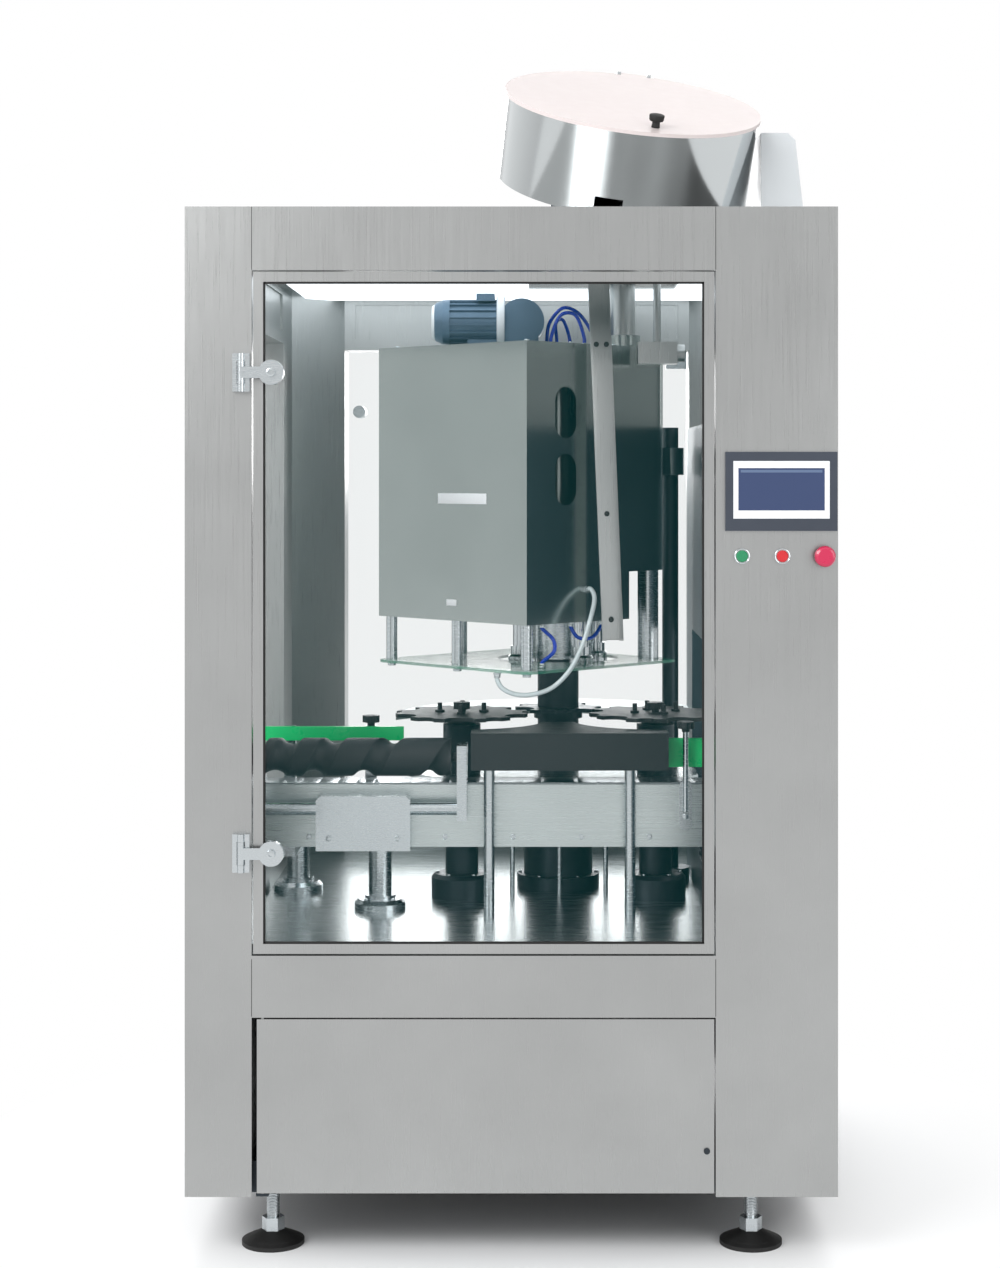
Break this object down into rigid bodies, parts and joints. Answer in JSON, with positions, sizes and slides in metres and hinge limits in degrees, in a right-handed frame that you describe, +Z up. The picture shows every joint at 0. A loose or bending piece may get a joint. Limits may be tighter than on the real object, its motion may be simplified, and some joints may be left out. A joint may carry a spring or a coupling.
{
  "type": "rotary screw capping machine",
  "caption": "Free-standing enclosed screw capping machine: conveyor, timing screw, star wheels, lifting multi-spindle capping head, glass door and a tilted cap sorter on the roof.",
  "frame": {"origin": "on the floor, under the centre of the cabinet", "axes": "+X to the right along the conveyor in the bottles' direction, +Y to the rear, +Z up"},
  "size_m": [1.25, 1.277, 2.424],
  "materials": {
    "steel": "fine vertical brush, cool grey",
    "bright": "polished steel of clamps, hinges and small fittings",
    "dark_metal": "dark grey satin paint",
    "shaft": "bright turned shaft",
    "black_plastic": "black machined plastic, satin",
    "foot": "black moulded pad",
    "glass": "clear pane with a cool tint",
    "guard": "clear green-edged acrylic plate",
    "panel_dark": "dark blue-grey panel",
    "green": "bright green slide plastic",
    "pale": "pale frosted plastic",
    "bezel": "dark grey screen housing",
    "screen": "blue-grey display under glass",
    "red": "red moulded button",
    "start_green": "green moulded button",
    "blue_motor": "blue-grey motor paint",
    "lid": "pinkish white lid",
    "white": "white powder coat",
    "hose_clear": "milky clear hose",
    "hose_blue": "blue air tube",
    "chain": "steel slat chain"
  },
  "bodies": {
    "cabinet": {"base_frame": "dark_metal", "table_plate": "steel", "corner_columns": "steel", "control_column": "steel", "front_beams": "steel", "roof": "steel", "lower_panels": "steel", "side_windows": "glass", "partition_panel": "panel_dark", "foot_screws": "bright", "foot_pads": "foot", "door_hinge_plates": "bright", "screen_bezel": "bezel", "screen_panel": "screen", "button_collars": "bright", "conveyor_frame": "steel", "conveyor_chain": "chain", "table_legs": "bright", "rail_brackets": "bright", "guide_rails": "green", "rail_knobs": "black_plastic", "transfer_plate": "chain", "outer_guide": "pale", "center_guide": "black_plastic", "star_pedestals": "dark_metal", "drive_motor": "blue_motor", "ceiling_column": "steel", "guide_column": "dark_metal", "sorter_bracket": "bright", "sorter_bowl": "steel", "controller_box": "white", "cap_chute": "steel"},
    "front_door": {"door_frame": "steel", "door_glass": "glass", "door_clamps": "bright"},
    "lower_door": {"lower_door": "steel"},
    "lower_lock": {"lower_door_lock": "dark_metal"},
    "rear_door": {"rear_door": "glass", "rear_door_fittings": "bright"},
    "start_button": {"start_button": "start_green"},
    "stop_button": {"stop_button": "red"},
    "estop_button": {"estop_button": "red"},
    "timing_screw": {"timing_screw": "black_plastic"},
    "drive_sprocket": {"drive_sprocket": "shaft"},
    "main_star": {"main_column": "black_plastic"},
    "infeed_star": {"infeed_star": "black_plastic"},
    "outfeed_star": {"outfeed_star": "black_plastic"},
    "head": {"head_housing": "steel", "guard_plate": "guard", "guard_standoffs": "bright", "head_motor": "blue_motor", "white_hose": "hose_clear", "blue_hoses": "hose_blue"},
    "turret": {"turret": "steel"},
    "spindle_1": {"spindle_1": "shaft"},
    "spindle_2": {"spindle_2": "shaft"},
    "spindle_3": {"spindle_3": "shaft"},
    "spindle_4": {"spindle_4": "shaft"},
    "sorter_lid": {"sorter_lid": "lid"},
    "sorter_disc": {"sorter_disc": "shaft"}
  },
  "joints": [
    {"name": "front_door_swing", "type": "hinge", "parent": "cabinet", "child": "front_door", "pos_m": [-0.516, -0.637, 1.2], "axis": [0, 0, -1], "range_deg": [0, 110]},
    {"name": "lower_door_swing", "type": "hinge", "parent": "cabinet", "child": "lower_door", "pos_m": [-0.477, -0.617, 0.3], "axis": [0, 0, -1], "range_deg": [0, 110]},
    {"name": "lower_lock_turn", "type": "hinge", "parent": "lower_door", "child": "lower_lock", "pos_m": [0.374, -0.625, 0.208], "axis": [0, 1, 0], "range_deg": [-90, 0]},
    {"name": "rear_door_swing", "type": "hinge", "parent": "cabinet", "child": "rear_door", "pos_m": [0.395, 0.575, 1.25], "axis": [0, 0, -1], "range_deg": [0, 105]},
    {"name": "start_press", "type": "slide", "parent": "cabinet", "child": "start_button", "axis": [0, 1, 0], "range_m": [0, 0.003], "stiffness_N_per_m": 800},
    {"name": "stop_press", "type": "slide", "parent": "cabinet", "child": "stop_button", "axis": [0, 1, 0], "range_m": [0, 0.003], "stiffness_N_per_m": 800},
    {"name": "estop_press", "type": "slide", "parent": "cabinet", "child": "estop_button", "axis": [0, 1, 0], "range_m": [0, 0.005], "stiffness_N_per_m": 800},
    {"name": "main_spin", "type": "hinge", "parent": "cabinet", "child": "main_star", "pos_m": [0.095, 0.02045, 0.9], "axis": [0, 0, -1], "continuous": true},
    {"name": "infeed_spin", "type": "hinge", "parent": "cabinet", "child": "infeed_star", "pos_m": [-0.112, -0.101, 0.9], "axis": [0, 0, 1], "continuous": true},
    {"name": "outfeed_spin", "type": "hinge", "parent": "cabinet", "child": "outfeed_star", "pos_m": [0.302, -0.101, 0.9], "axis": [0, 0, 1], "continuous": true},
    {"name": "screw_spin", "type": "hinge", "parent": "cabinet", "child": "timing_screw", "pos_m": [-0.3, -0.302, 0.922], "axis": [1, 0, 0], "continuous": true},
    {"name": "sprocket_spin", "type": "hinge", "parent": "cabinet", "child": "drive_sprocket", "pos_m": [0.57, -0.245, 0.816], "axis": [0, 1, 0], "continuous": true},
    {"name": "head_lift", "type": "slide", "parent": "cabinet", "child": "head", "axis": [0, 0, 1], "range_m": [-0.06, 0.015]},
    {"name": "turret_spin", "type": "hinge", "parent": "head", "child": "turret", "pos_m": [0.095, 0.02045, 1.3], "axis": [0, 0, -1], "continuous": true},
    {"name": "spindle_1_spin", "type": "hinge", "parent": "turret", "child": "spindle_1", "pos_m": [0.0122, -0.02813, 1.3], "axis": [0, 0, -1], "continuous": true},
    {"name": "spindle_2_spin", "type": "hinge", "parent": "turret", "child": "spindle_2", "pos_m": [0.14358, -0.06235, 1.3], "axis": [0, 0, -1], "continuous": true},
    {"name": "spindle_3_spin", "type": "hinge", "parent": "turret", "child": "spindle_3", "pos_m": [0.1778, 0.06904, 1.3], "axis": [0, 0, -1], "continuous": true},
    {"name": "spindle_4_spin", "type": "hinge", "parent": "turret", "child": "spindle_4", "pos_m": [0.04642, 0.10325, 1.3], "axis": [0, 0, -1], "continuous": true},
    {"name": "lid_swing", "type": "hinge", "parent": "cabinet", "child": "sorter_lid", "pos_m": [0.2702, 0.23972, 2.41139], "axis": [-0.9925, 0, 0.1219], "range_deg": [0, 75]},
    {"name": "sorter_spin", "type": "hinge", "parent": "cabinet", "child": "sorter_disc", "pos_m": [0.258, -0.025, 2.312], "axis": [0.1134, -0.3665, 0.9235], "continuous": true}
  ],
  "couplings": [
    {"joint": "infeed_spin", "follows": "main_spin", "ratio": 0.66667},
    {"joint": "outfeed_spin", "follows": "main_spin", "ratio": 0.66667},
    {"joint": "screw_spin", "follows": "main_spin", "ratio": 4},
    {"joint": "sprocket_spin", "follows": "main_spin", "ratio": 1.92},
    {"joint": "turret_spin", "follows": "main_spin", "ratio": 1},
    {"joint": "spindle_1_spin", "follows": "main_spin", "ratio": 1.6667},
    {"joint": "spindle_2_spin", "follows": "main_spin", "ratio": 1.6667},
    {"joint": "spindle_3_spin", "follows": "main_spin", "ratio": 1.6667},
    {"joint": "spindle_4_spin", "follows": "main_spin", "ratio": 1.6667}
  ]
}
